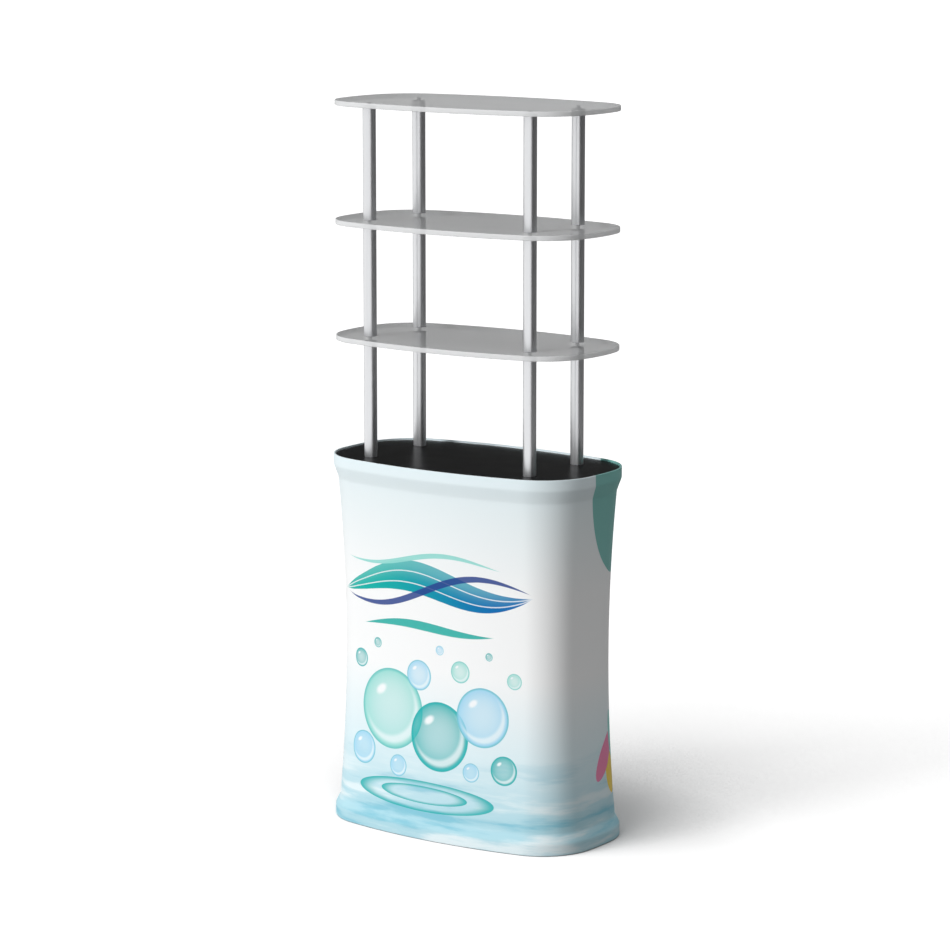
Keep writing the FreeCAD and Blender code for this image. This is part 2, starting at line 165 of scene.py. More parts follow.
def calc(tree, operation, *values):
    made = node(tree, "ShaderNodeMath", operation=operation)
    for socket, value in zip(made.inputs, values):
        feed(tree, socket, value)
    return made.outputs[0]


def ease(tree, value, low, high):
    # 0 below low, 1 above high, smooth between; low may be the larger
    made = node(tree, "ShaderNodeMapRange", interpolation_type="SMOOTHSTEP")
    flip = low > high
    feed(tree, made.inputs["Value"], value)
    made.inputs["From Min"].default_value = min(low, high)
    made.inputs["From Max"].default_value = max(low, high)
    made.inputs["To Min"].default_value = 1.0 if flip else 0.0
    made.inputs["To Max"].default_value = 0.0 if flip else 1.0
    return made.outputs[0]


def blendColour(tree, share, first, second):
    made = node(tree, "ShaderNodeMix", data_type="RGBA")
    feed(tree, made.inputs["Factor"], share)
    feed(tree, made.inputs["A"], first)
    feed(tree, made.inputs["B"], second)
    return made.outputs["Result"]


def linear(red, green, blue):
    # A colour from its 0 to 255 screen values
    values = np.array([red, green, blue]) / 255
    values = np.where(values <= 0.04045, values / 12.92, ((values + 0.055) / 1.055) ** 2.4)
    return (*values.tolist(), 1.0)


def bump(tree, shader, height, strength, distance):
    made = node(tree, "ShaderNodeBump")
    made.inputs["Strength"].default_value = strength
    made.inputs["Distance"].default_value = distance
    feed(tree, made.inputs["Height"], height)
    feed(tree, shader.inputs["Normal"], made.outputs["Normal"])


def objectPoint(tree, scale=(1, 1, 1)):
    place = node(tree, "ShaderNodeTexCoord")
    mapping = node(tree, "ShaderNodeMapping")
    mapping.inputs["Scale"].default_value = scale
    tree.links.new(place.outputs["Object"], mapping.inputs["Vector"])
    return mapping.outputs["Vector"]


def varied(tree, shader, share, roughness, spread):
    # Roughness that wanders with a noise, from a little below its value to a little above
    below, above = spread
    made = node(tree, "ShaderNodeMapRange")
    feed(tree, made.inputs["Value"], share)
    made.inputs["To Min"].default_value = roughness - below
    made.inputs["To Max"].default_value = roughness + above
    feed(tree, shader.inputs["Roughness"], made.outputs["Result"])


def noise(tree, vector, scale, detail=3.0, roughness=0.5):
    made = node(tree, "ShaderNodeTexNoise")
    feed(tree, made.inputs["Vector"], vector)
    made.inputs["Scale"].default_value = scale
    made.inputs["Detail"].default_value = detail
    made.inputs["Roughness"].default_value = roughness
    return made.outputs["Fac"]


# Print of the sleeve: pale water tones with flowing ribbons and bubbles, the same at the front and the back

sleevePrint = dict(
    rim=linear(230, 243, 247), upper=linear(236, 245, 247), middle=linear(249, 250, 250),
    lower=linear(222, 240, 245), foot=linear(180, 220, 231), foam=linear(240, 249, 251),
    deep=linear(118, 192, 212), teal=linear(18, 176, 166), blue=linear(14, 104, 178),
    navy=linear(40, 70, 142), mint=linear(150, 220, 212), ice=linear(158, 214, 240),
    white=linear(248, 251, 252), sea=linear(38, 178, 178), lagoon=linear(128, 190, 184),
    rose=linear(238, 140, 178), sun=linear(246, 214, 96),
    # Ground: share of the height, ink
    ground=[(0.0, "foot"), (0.07, "foot"), (0.24, "lower"), (0.46, "middle"), (0.68, "middle"),
            (0.90, "upper"), (1.0, "rim")],
    # Ribbons: middle height, slope, swing, waves per metre, phase, half width, middle, reach, ink
    ribbons=[
        (0.700, 0.05, 0.030, 1.60, 2.60, 0.046, -0.020, 0.340, "blend"),
        (0.690, 0.07, 0.040, 1.45, 0.30, 0.011, -0.010, 0.330, "navy"),
        (0.772, 0.02, 0.020, 1.80, 1.10, 0.008, -0.050, 0.280, "mint"),
        (0.585, 0.05, 0.012, 1.80, 2.90, 0.013, -0.030, 0.230, "teal"),
    ],
    # Rings on the water: across, height, half width, half height, line width
    rings=[(-0.030, 0.118, 0.235, 0.042, 0.30), (-0.030, 0.122, 0.150, 0.024, 0.34)],
    ringSoft=0.015, ringShare=0.95,
    # Bubbles: across, height, radius, ink
    bubbles=[
        (-0.150, 0.345, 0.112, "mint"), (0.020, 0.290, 0.096, "sea"), (0.160, 0.360, 0.082, "ice"),
        (-0.255, 0.220, 0.046, "ice"), (0.230, 0.222, 0.040, "sea"), (-0.052, 0.452, 0.042, "ice"),
        (0.088, 0.478, 0.030, "mint"), (-0.272, 0.470, 0.026, "sea"), (0.258, 0.470, 0.022, "mint"),
        (-0.120, 0.190, 0.030, "ice"), (0.128, 0.205, 0.026, "ice"), (-0.205, 0.522, 0.014, "sea"),
        (0.020, 0.530, 0.013, "ice"), (0.180, 0.530, 0.011, "sea"),
    ],
    # Large fields of colour round the right end: around, height, half width, half height, turn, ink
    fields=[
        (0.675, 1.030, 0.155, 0.290, 0, "lagoon"), (0.655, 0.185, 0.035, 0.060, 10, "sun"),
        (0.618, 0.238, 0.028, 0.080, -38, "rose"), (0.712, 0.222, 0.026, 0.072, 44, "lagoon"),
        (0.672, 0.292, 0.022, 0.066, 6, "mint"),
    ],
    fieldSoft=0.004,
)


def lay(tree, colour, mask, share, ink):
    # An ink of the print over a colour, by a mask and a share of it
    return blendColour(tree, calc(tree, "MULTIPLY", mask, share), colour, sleevePrint[ink])


def ovalDistance(tree, across, up, centre, halfWidth, halfHeight, turn=0.0):
    # Distance from a centre in half widths, so that 1 is the rim
    dx = calc(tree, "SUBTRACT", across, centre[0])
    dy = calc(tree, "SUBTRACT", up, centre[1])
    cosine, sine = math.cos(math.radians(turn)), math.sin(math.radians(turn))
    along = calc(tree, "MULTIPLY_ADD", dx, cosine / halfWidth,
                 calc(tree, "MULTIPLY", dy, sine / halfWidth))
    aside = calc(tree, "MULTIPLY_ADD", dx, -sine / halfHeight,
                 calc(tree, "MULTIPLY", dy, cosine / halfHeight))
    square = calc(tree, "MULTIPLY_ADD", along, along, calc(tree, "MULTIPLY", aside, aside))
    return calc(tree, "SQRT", square)


def groundColour(tree, up, top):
    ramp = node(tree, "ShaderNodeValToRGB")
    feed(tree, ramp.inputs["Fac"], calc(tree, "DIVIDE", up, top))
    elements = ramp.color_ramp.elements
    while len(elements) < len(sleevePrint["ground"]):
        elements.new(0.5)
    for element, (position, ink) in zip(elements, sleevePrint["ground"]):
        element.position, element.color = position, sleevePrint[ink]
    return ramp.outputs["Color"]


water = dict(
    stretch=(1.5, 1.5, 11.0), scale=1.7, detail=5.0, roughness=0.55,
    top=0.32, full=0.06,  # heights where it starts and where it is strongest
    foamFrom=0.50, foamTo=0.64, foamShare=0.8, deepFrom=0.49, deepTo=0.35, deepShare=0.75,
)


def addWater(tree, colour, up):
    # Long noise streaks that grow stronger towards the floor
    point = objectPoint(tree, water["stretch"])
    ripple = noise(tree, point, water["scale"], water["detail"], water["roughness"])
    depth = ease(tree, up, water["top"], water["full"])
    foam = calc(tree, "MULTIPLY", ease(tree, ripple, water["foamFrom"], water["foamTo"]), depth)
    colour = lay(tree, colour, foam, water["foamShare"], "foam")
    deep = calc(tree, "MULTIPLY", ease(tree, ripple, water["deepFrom"], water["deepTo"]), depth)
    return lay(tree, colour, deep, water["deepShare"], "deep")


bubbleLook = dict(
    softEdge=0.0012, middleTint=0.45, tintPower=2.4, rimFrom=0.90, rimShare=0.55,
    # Crescent and glint are ovals, placed and sized in the bubble's own radii
    crescentPlace=(-0.10, 0.16), crescentSize=(0.86, 0.86), crescentInner=(0.90, 1.06),
    crescentOuter=(0.92, 0.80), crescentShare=0.7,
    glintPlace=(-0.36, 0.44), glintSize=(0.26, 0.15), glintTurn=35, glintSolid=0.35, glintShare=0.95,
)


def addBubble(tree, colour, across, up, bubble):
    # A clear middle, a tinted shoulder, a thin darker rim, a pale crescent below and a glint above
    x, z, radius, ink = bubble
    look = bubbleLook

    def oval(place, size, turn=0.0):
        centre = (x + radius * place[0], z + radius * place[1])
        return ovalDistance(tree, across, up, centre, radius * size[0], radius * size[1], turn)

    away = oval((0, 0), (1, 1))
    soft = look["softEdge"] / radius
    inside = ease(tree, away, 1 + soft, 1 - soft)
    tint = calc(tree, "MULTIPLY_ADD", calc(tree, "POWER", away, look["tintPower"]),
                1 - look["middleTint"], look["middleTint"])
    colour = lay(tree, colour, inside, tint, ink)
    rim = calc(tree, "MULTIPLY", inside, ease(tree, away, look["rimFrom"], 1.0))
    colour = lay(tree, colour, rim, look["rimShare"], "sea")
    low = oval(look["crescentPlace"], look["crescentSize"])
    crescent = calc(tree, "MULTIPLY", ease(tree, away, *look["crescentOuter"]),
                    ease(tree, low, *look["crescentInner"]))
    colour = lay(tree, colour, crescent, look["crescentShare"], "foam")
    spot = oval(look["glintPlace"], look["glintSize"], look["glintTurn"])
    return lay(tree, colour, ease(tree, spot, 1.0, look["glintSolid"]), look["glintShare"], "white")


ribbonLook = dict(
    softEdge=0.0016, leastTaper=0.001, share=0.94, hueReach=0.28, lightFrom=-0.5, lightShare=0.45,
    lines=(-0.42, 0.30), lineEdge=(0.0022, 0.0010), lineShare=0.75,  # fine lines, placed in half widths
)


def addRibbon(tree, colour, across, up, ribbon, hue):
    # A sine wave on a slope, thickest in the middle and pointed at both ends
    level, slope, swing, waves, phase, width, centre, reach, ink = ribbon
    look = ribbonLook
    wave = calc(tree, "SINE", calc(tree, "MULTIPLY_ADD", across, waves * 2 * math.pi, phase))
    path = calc(tree, "MULTIPLY_ADD", wave, swing, calc(tree, "MULTIPLY_ADD", across, slope, level))
    offset = calc(tree, "SUBTRACT", up, path)
    far = calc(tree, "DIVIDE", calc(tree, "SUBTRACT", across, centre), reach)
    taper = calc(tree, "MAXIMUM", calc(tree, "SUBTRACT", 1.0, calc(tree, "MULTIPLY", far, far)), 0.0)
    edge = calc(tree, "SUBTRACT", calc(tree, "MULTIPLY", taper, width), calc(tree, "ABSOLUTE", offset))
    mask = calc(tree, "MULTIPLY", ease(tree, edge, 0.0, look["softEdge"]),
                calc(tree, "GREATER_THAN", taper, look["leastTaper"]))
    if ink != "blend":
        return lay(tree, colour, mask, look["share"], ink)
    # The broad ribbon is lighter along its upper edge and carries two fine pale lines
    light = ease(tree, offset, look["lightFrom"] * width, width)
    colour = blendColour(tree, mask, colour, lay(tree, hue, light, look["lightShare"], "mint"))
    for place in look["lines"]:
        line = calc(tree, "ABSOLUTE", calc(tree, "MULTIPLY_ADD", taper, -place * width, offset))
        fine = calc(tree, "MULTIPLY", ease(tree, line, *look["lineEdge"]), mask)
        colour = lay(tree, colour, fine, look["lineShare"], "white")
    return colour


def printColour(tree, around, up, perimeter, top):
    # Front and back halves both count across from their own middle
    across = calc(tree, "WRAP", around, perimeter / 4, -perimeter / 4)
    colour = addWater(tree, groundColour(tree, up, top), up)
    for x, z, wide, high, line in sleevePrint["rings"]:
        away = ovalDistance(tree, across, up, (x, z), wide, high)
        band = calc(tree, "MULTIPLY", ease(tree, away, 1.0, 1 - sleevePrint["ringSoft"]),
                    ease(tree, away, 1 - line, 1.0))
        colour = lay(tree, colour, band, sleevePrint["ringShare"], "sea")
    for bubble in sleevePrint["bubbles"]:
        colour = addBubble(tree, colour, across, up, bubble)
    reach = ribbonLook["hueReach"]
    hue = blendColour(tree, ease(tree, across, -reach, reach), sleevePrint["teal"], sleevePrint["blue"])
    for ribbon in sleevePrint["ribbons"]:
        colour = addRibbon(tree, colour, across, up, ribbon, hue)
    soft = sleevePrint["fieldSoft"]
    for x, z, wide, high, turn, ink in sleevePrint["fields"]:
        away = ovalDistance(tree, around, up, (x, z), wide, high, turn)
        colour = blendColour(tree, ease(tree, away, 1 + soft, 1 - soft), colour, sleevePrint[ink])
    return colour


fabric = dict(
    roughness=0.72, specular=0.25, sheen=0.12, sheenRoughness=0.45, back=linear(232, 234, 234),
    loop=0.0011, sway=1.2, knitHeight=0.25, knitStrength=0.18,
)


def fabricMaterial(perimeter, top, printed):
    material, tree, shader = newMaterial("printedFabric" if printed else "fabricBack")
    shader.inputs["Roughness"].default_value = fabric["roughness"]
    shader.inputs["Specular IOR Level"].default_value = fabric["specular"]
    shader.inputs["Sheen Weight"].default_value = fabric["sheen"]
    shader.inputs["Sheen Roughness"].default_value = fabric["sheenRoughness"]
    uv = node(tree, "ShaderNodeUVMap", uv_map="print")
    parts = node(tree, "ShaderNodeSeparateXYZ")
    tree.links.new(uv.outputs["UV"], parts.inputs["Vector"])
    around, up = parts.outputs["X"], parts.outputs["Y"]
    if printed:
        feed(tree, shader.inputs["Base Color"], printColour(tree, around, up, perimeter, top))
    else:
        shader.inputs["Base Color"].default_value = fabric["back"]
    # Knit: rows of small loops, each row swayed by its columns
    turns = 2 * math.pi / fabric["loop"]
    column = calc(tree, "SINE", calc(tree, "MULTIPLY", around, turns))
    course = calc(tree, "SINE", calc(tree, "ADD", calc(tree, "MULTIPLY", up, turns),
                                     calc(tree, "MULTIPLY", column, fabric["sway"])))
    knit = calc(tree, "MULTIPLY", calc(tree, "ADD", column, course), fabric["knitHeight"])
    bump(tree, shader, knit, fabric["knitStrength"], grainHeight)
    return material


# Fabric sleeve

sleeve = dict(
    sideRadius=1.48, endRadius=0.95, cornerRadius=0.159, overhang=0.0002,
    cloth=0.001, hemWidth=0.018, footRound=0.0025, rimRound=0.0009,
    bandHeight=0.029, ringBase=0.004, lowerSlope=0.025, upperSlope=0.036,
    bandInset=0.013, waistInset=0.033, lipInset=0.005, lipDepth=0.022, soften=0.0022,
    columns=384, footStep=0.003, bodyStep=0.0085, rimStep=0.0028,  # spacing of the rows
    footZone=0.032, rimZone=0.078, bodyJoin=0.007, rimJoin=0.004,
    # Folds: waves round the sleeve, each as radians per metre, sway, phase and share; then start and fade
    folds=[(71, 1.3, 0.0, 1.0), (43, 0.0, 2.0, 0.7), (127, 0.0, 0.7, 0.5)], swayWave=9,
    foldHeight=0.0007, foldStart=0.02, footFade=0.09, rimFade=0.06, rimShare=0.6, rimClear=0.003,
    seamHeight=0.0005, seamWidth=0.008,
)


def sleeveOval():
    low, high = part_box("fabric_sleeve")
    halfLength = (high.x - low.x) / 2 + sleeve["overhang"]
    return dict(sleeve, halfLength=halfLength, halfDepth=(high.y - low.y) / 2)


def bodyInset(height, top):
    # Nought on the two rings, a quick slope beside each, and a parabola between, softened at the bends
    step, span = 0.0005, 40  # spacing and half width, in steps, of the softening
    lowBand = sleeve["ringBase"] + sleeve["bandHeight"]
    highBand = top - sleeve["cloth"] - sleeve["bandHeight"]
    low, high = lowBand + sleeve["lowerSlope"], highBand - sleeve["upperSlope"]
    middle, half = (low + high) / 2, (high - low) / 2
    fine = np.arange(-span * step, top + span * step, step)
    bulge = 1 - ((fine - middle) / half) ** 2
    curve = sleeve["bandInset"] + (sleeve["waistInset"] - sleeve["bandInset"]) * bulge
    lowSlope = sleeve["bandInset"] * np.clip((fine - lowBand) / (low - lowBand), 0, 1)
    highSlope = sleeve["bandInset"] * np.clip((highBand - fine) / (highBand - high), 0, 1)
    inset = np.where(fine < low, lowSlope, np.where(fine > high, highSlope, curve))
    kernel = np.exp(-0.5 * (np.arange(-span, span + 1) * step / sleeve["soften"]) ** 2)
    soft = np.convolve(np.pad(inset, span, mode="edge"), kernel / kernel.sum(), mode="valid")
    return np.interp(height, fine, soft)


def sleeveRows(low, top):
    # The section as (inset, height), from the hem's inner edge outwards, up, over the rim and back inside
    cloth, hem, rim = sleeve["cloth"], sleeve["footRound"], sleeve["rimRound"]
    lip, lipEnd = sleeve["lipInset"], top - sleeve["lipDepth"]
    under, over = cloth * 1.2, cloth * 2.5  # keep the inner rows clear of the rounds
    ringTop = sleeve["ringBase"] + sleeve["bandHeight"]
    footSide = np.arange(low + hem + sleeve["footStep"], ringTop + sleeve["footZone"], sleeve["footStep"])
    body = np.arange(footSide[-1] + sleeve["bodyJoin"], top - sleeve["rimZone"], sleeve["bodyStep"])
    rimSide = np.arange(body[-1] + sleeve["rimJoin"], top - sleeve["rimJoin"], sleeve["rimStep"])
    side = np.concatenate([footSide, body, rimSide])
    outside = np.concatenate([
        [[sleeve["hemWidth"], low], [sleeve["hemWidth"] / 2, low]],
        arcSteps(hem, low + hem, hem, -90, 0),
        np.stack([bodyInset(side, top), side], -1),
        arcSteps(rim, top - rim, rim, 0, 90, 5),
        arcSteps(lip - rim, top - rim, rim, 90, 180, 5),
        [[lip, top - sleeve["rimJoin"]], [lip, lipEnd]],
    ])
    back = side[::-3]
    inside = np.concatenate([
        [[lip - cloth, lipEnd], [lip - cloth, top - under], [cloth, top - under]],
        np.stack([bodyInset(back, top) + cloth, back], -1),
        [[over, low + under], [sleeve["hemWidth"], low + cloth]],
    ])
    return np.concatenate([outside, inside]), len(outside)


def sleeveProud(u, z, low, top, perimeter):
    # How far the cloth stands out of its section: upright folds, a sum of sine waves, run out of both rings
    # and fade towards the waist, and the seam stands proud at the middle of the back
    folds = sum(share * np.sin(u * wave + sway * np.sin(u * sleeve["swayWave"]) + phase)
                for wave, sway, phase, share in sleeve["folds"])
    folds = folds / sum(row[-1] for row in sleeve["folds"])
    bandTop = low + sleeve["ringBase"] + sleeve["bandHeight"]
    rimBottom = top - sleeve["bandHeight"]
    start = sleeve["foldStart"]
    nearFoot = smoothStep(bandTop, bandTop + start, z)
    nearFoot = nearFoot * np.exp(-np.maximum(z - bandTop, 0) / sleeve["footFade"])
    nearRim = smoothStep(rimBottom, rimBottom - start, z)
    nearRim = nearRim * np.exp(-np.maximum(rimBottom - z, 0) / sleeve["rimFade"])
    fromSeam = np.minimum(np.abs(u - perimeter / 2), np.abs(u + perimeter / 2))
    return (sleeve["foldHeight"] * folds * (nearFoot + sleeve["rimShare"] * nearRim)
            + sleeve["seamHeight"] * (1 - smoothStep(0, sleeve["seamWidth"], fromSeam)))


def makeSleeve():
    # The section carried once round the oval, each row drawn in by its inset and pushed out by the folds
    low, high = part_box("fabric_sleeve")
    columns = sleeve["columns"]
    walk = ovalWalk(sleeveOval(), columns)
    perimeter = walk[-1]
    rows, outer = sleeveRows(low.z, high.z)
    insets, heights = rows[:, 0], rows[:, 1]
    edges = np.arange(columns + 1) / columns * perimeter - perimeter / 2
    u, z = np.meshgrid(edges[:-1], heights)
    proud = sleeveProud(u, z, low.z, high.z, perimeter)
    # Inside, the cloth only draws back, and the rim stays even
    proud[outer:] = np.minimum(proud[outer:], 0)
    proud[heights > high.z - sleeve["rimClear"]] = 0
    quads = gridFaces(len(rows), columns, closedRows=True)
    piece = makeMesh("fabricSleeve", ovalSurface(walk, heights, insets, proud), quads.tolist())
    mesh = piece.data
    # Print map in metres: around from the middle of the front, and height
    left, right = np.tile(edges[:-1], len(rows)), np.tile(edges[1:], len(rows))
    row = np.repeat(np.arange(len(rows)), columns)
    lowRow, highRow = heights[row], heights[(row + 1) % len(rows)]
    uv = np.stack([left, lowRow, right, lowRow, right, highRow, left, highRow], -1)
    layer = mesh.uv_layers.new(name="print")
    layer.data.foreach_set("uv", uv.astype(np.float32).ravel())
    mesh.materials.append(fabricMaterial(perimeter, high.z, True))
    mesh.materials.append(fabricMaterial(perimeter, high.z, False))
    mesh.polygons.foreach_set("material_index", (row >= outer).astype(np.int32))
    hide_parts("fabric_sleeve")


# Plates: the black panel and the shelves

plates = dict(columns=288, rings=7, ringPower=1.5, edgeSteps=5)


def plate(name, shape, low, high, edge):
    # A plate with rounded edges: its side and rounds carried round the oval, its faces closed in to a pole
    columns, rings, steps = plates["columns"], plates["rings"], plates["edgeSteps"]
    walk = ovalWalk(shape, columns)
    section = np.concatenate([arcSteps(edge, low + edge, edge, -90, 0, steps),
                              arcSteps(edge, high - edge, edge, 0, 90, steps)])
    points = ovalSurface(walk, section[:, 1], section[:, 0])
    shares = 1 - np.linspace(0, 1, rings + 1)[1:-1] ** plates["ringPower"]
    flat = points[[0, -1]] * np.array([1, 1, 0])
    bottomRings = flat[:1] * shares[::-1, None, None] + np.array([0, 0, low])
    topRings = flat[1:] * shares[:, None, None] + np.array([0, 0, high])
    grid = np.concatenate([bottomRings, points, topRings])
    quads = gridFaces(len(grid), columns)
    poles = np.array([[0, 0, low], [0, 0, high]])
    every = np.arange(columns)
    nextOne = (every + 1) % columns
    lowPole, highPole = len(grid) * columns, len(grid) * columns + 1
    last = lowPole - columns
    lowFan = np.stack([np.full(columns, lowPole), nextOne, every], -1)
    highFan = np.stack([np.full(columns, highPole), last + every, last + nextOne], -1)
    return makeMesh(name, np.concatenate([grid.reshape(-1, 3), poles]),
                    quads.tolist() + lowFan.tolist() + highFan.tolist())


shelves = dict(
    sideRadius=1.47, endRadius=0.452, cornerRadius=0.141, edge=0.0016,
    # Face and side are lit and shaded copies of one acrylic: the faces' grey is painted shade, the sides'
    # paler colour is painted light
    face=linear(186, 187, 188), faceAlpha=0.62, faceRoughness=0.34,
    side=linear(230, 231, 232), sideAlpha=0.80, sideRoughness=0.45, levelFrom=0.8,
    specular=0.4, spread=(0.04, 0.05), wander=9.0, grain=900.0, grainStrength=0.02,
)


def acrylicMaterial(name, colour, alpha, roughness):
    # Frosted acrylic lets the posts show through. Its faces are painted grey and its sides paler: lit and
    # shaded copies of one acrylic, painted shade on the faces and painted light on the sides, which face the
    # lamp
    material, tree, shader = newMaterial(name)
    shader.inputs["Base Color"].default_value = colour
    shader.inputs["Alpha"].default_value = alpha
    shader.inputs["Specular IOR Level"].default_value = shelves["specular"]
    point = objectPoint(tree)
    varied(tree, shader, noise(tree, point, shelves["wander"]), roughness, shelves["spread"])
    bump(tree, shader, noise(tree, point, shelves["grain"], detail=2.0), shelves["grainStrength"], grainHeight)
    return material


def makeShelves():
    face = acrylicMaterial("frostedFace", shelves["face"], shelves["faceAlpha"], shelves["faceRoughness"])
    side = acrylicMaterial("frostedSide", shelves["side"], shelves["sideAlpha"], shelves["sideRoughness"])
    for name in ("lower_shelf", "middle_shelf", "top_shelf"):
        low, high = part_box(name)
        shape = dict(shelves, halfLength=high.x, halfDepth=high.y)
        first, second = name.split("_")
        piece = plate(first + second.capitalize(), shape, low.z, high.z, shelves["edge"])
        piece.data.materials.append(face)
        piece.data.materials.append(side)
        upright = np.zeros(len(piece.data.polygons) * 3)
        piece.data.polygons.foreach_get("normal", upright)
        level = np.abs(upright.reshape(-1, 3)[:, 2]) > shelves["levelFrom"]
        # Level faces get the painted-shade copy and the sides the painted-light copy
        piece.data.polygons.foreach_set("material_index", np.where(level, 0, 1).astype(np.int32))
        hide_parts(name)
    print("shelves made")


panel = dict(
    inset=0.0053, edge=0.0006, colour=linear(12, 12, 13), roughness=0.30, spread=(0.03, 0.05),
    specular=0.055, wander=14.0, grain=1400.0, grainStrength=0.06,
)


def panelMaterial():
    material, tree, shader = newMaterial("blackLaminate")
    shader.inputs["Base Color"].default_value = panel["colour"]
    shader.inputs["Specular IOR Level"].default_value = panel["specular"]
    point = objectPoint(tree)
    wander = noise(tree, point, panel["wander"], detail=4.0)
    varied(tree, shader, wander, panel["roughness"], panel["spread"])
    bump(tree, shader, noise(tree, point, panel["grain"], detail=2.0), panel["grainStrength"], grainHeight)
    return material


def makePanel():
    low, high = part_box("top_panel")
    outer = sleeveOval()
    inset = panel["inset"]
    shape = {key: outer[key] - inset for key in
             ("halfLength", "halfDepth", "sideRadius", "endRadius", "cornerRadius")}
    piece = plate("topPanel", shape, low.z, high.z, panel["edge"])
    piece.data.materials.append(panelMaterial())
    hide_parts("top_panel")
    print("panel made")


# Posts: brushed tubes, each with broken edges at its two ends

posts = dict(
    wall=0.002, edge=0.0005, columns=72, colour=linear(219, 220, 222), roughness=0.34, spread=(0.03, 0.05),
    streak=900.0, streakStretch=(1, 1, 0.012), streakStrength=0.015, darkest=0.95, palest=1.03,
    wander=120.0, wanderStretch=(1, 1, 0.05),
)


def postMaterial():
    material, tree, shader = newMaterial("brushedAluminium")
    shader.inputs["Metallic"].default_value = 1.0
    # Brushing runs lengthways: noise drawn out along Z
    streak = noise(tree, objectPoint(tree, posts["streakStretch"]), posts["streak"], roughness=0.6)
    broad = noise(tree, objectPoint(tree, posts["wanderStretch"]), posts["wander"], detail=2.0)
    tone = node(tree, "ShaderNodeMapRange")
    feed(tree, tone.inputs["Value"], streak)
    tone.inputs["To Min"].default_value = posts["darkest"]
    tone.inputs["To Max"].default_value = posts["palest"]
    shade = node(tree, "ShaderNodeVectorMath", operation="SCALE")
    shade.inputs[0].default_value = posts["colour"][:3]
    feed(tree, shade.inputs["Scale"], tone.outputs["Result"])
    feed(tree, shader.inputs["Base Color"], shade.outputs["Vector"])
    varied(tree, shader, broad, posts["roughness"], posts["spread"])
    bump(tree, shader, streak, posts["streakStrength"], grainHeight)
    return material


def makePost(name, material):
    # A closed section of the tube's wall, turned once round the post's axis
    low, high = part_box(name)
    radius = (high.x - low.x) / 2
    edge, wall, columns = posts["edge"], posts["wall"], posts["columns"]
    inner = radius - wall
    # The section as (radius, height): outside, top end, bore, bottom end
    section = np.array([
        [radius - edge, low.z], [radius, low.z + edge], [radius, high.z - edge], [radius - edge, high.z],
        [inner + edge, high.z], [inner, high.z - edge], [inner, low.z + edge], [inner + edge, low.z]])
    angle = np.arange(columns) / columns * 2 * math.pi
    x = (low.x + high.x) / 2 + section[:, :1] * np.cos(angle)
    y = (low.y + high.y) / 2 + section[:, :1] * np.sin(angle)
    z = np.broadcast_to(section[:, 1:], x.shape)
    words = name.split("_")
    piece = makeMesh(words[0] + "".join(word.capitalize() for word in words[1:]),
                     np.stack([x, y, z], -1), gridFaces(len(section), columns, closedRows=True).tolist())
    piece.data.materials.append(material)
    # Sharp between the ends' chamfers and the walls
    mesh = piece.data
    mesh.attributes.new("sharp_edge", "BOOLEAN", "EDGE")
    pairs = np.zeros(len(mesh.edges) * 2, np.int32)
    mesh.edges.foreach_get("vertices", pairs)
    rowOf = pairs.reshape(-1, 2) // columns
    mesh.attributes["sharp_edge"].data.foreach_set("value", rowOf[:, 0] == rowOf[:, 1])
    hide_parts(name)


def makePosts():
    material = postMaterial()
    names = sorted(name for name in nodes if "_post_" in name and not name.endswith("plugs"))
    for name in names:
        makePost(name, material)
    print("posts made:", len(names))


# Hidden metal, board, pads and strip keep their solids and get finishes of their own

metals = dict(
    # Colour, roughness, scale of the grain, stretch of the grain
    millAluminium=(linear(196, 198, 200), 0.38, 300.0, (1, 1, 0.1)),
    turnedAluminium=(linear(226, 227, 228), 0.55, 700.0, (1, 1, 6)),
    zincSteel=(linear(176, 180, 186), 0.34, 160.0, (1, 1, 1)),
)
metalLook = dict(darker=0.85, spread=(0.06, 0.08), strength=0.08)

softs = dict(
    # Darker and lighter colour, roughness, then the grain's scale, detail, roughness and strength
    fibreboard=(linear(150, 116, 78), linear(196, 160, 116), 0.78, 420.0, 4.0, 0.7, 0.25),
    greyNylon=(linear(168, 169, 170), linear(184, 185, 186), 0.55, 300.0, 3.0, 0.5, 0.3),
    padRubber=(linear(22, 22, 23), linear(40, 40, 41), 0.85, 260.0, 3.0, 0.5, 0.3),
    hookStrip=(linear(34, 34, 36), linear(70, 70, 73), 0.95, 1500.0, 3.0, 0.5, 0.3),
)
softDepth = 0.0003

finishOf = {
    "ring_metal": "millAluminium", "upright_metal": "millAluminium", "plug_metal": "turnedAluminium",
    "fastener_steel": "zincSteel", "floor_board": "fibreboard", "foot_rubber": "padRubber",
    "grip_strip": "hookStrip",
}


def metalMaterial(name):
    colour, roughness, scale, stretch = metals[name]
    material, tree, shader = newMaterial(name)
    shader.inputs["Metallic"].default_value = 1.0
    grain = noise(tree, objectPoint(tree, stretch), scale)
    dark = (*(part * metalLook["darker"] for part in colour[:3]), 1.0)
    feed(tree, shader.inputs["Base Color"], blendColour(tree, grain, dark, colour))
    varied(tree, shader, grain, roughness, metalLook["spread"])
    bump(tree, shader, grain, metalLook["strength"], grainHeight)
    return material


def softMaterial(name):
    dark, light, roughness, scale, detail, coarse, strength = softs[name]
    material, tree, shader = newMaterial(name)
    grain = noise(tree, objectPoint(tree), scale, detail, coarse)
    feed(tree, shader.inputs["Base Color"], blendColour(tree, grain, dark, light))
    shader.inputs["Roughness"].default_value = roughness
    bump(tree, shader, grain, strength, softDepth)
    return material


def finishHidden():
    materials = {name: metalMaterial(name) for name in metals}
    materials.update({name: softMaterial(name) for name in softs})
    slotOf = {row["node"]: row["material_slot"] for row in frame["record"]["subparts"]}
    for name, piece in nodes.items():
        if slotOf[name] in finishOf:
            finish = "greyNylon" if name.endswith("shelf_studs") else finishOf[slotOf[name]]
            piece.data.materials.clear()
            piece.data.materials.append(materials[finish])
    print("hidden pieces finished")
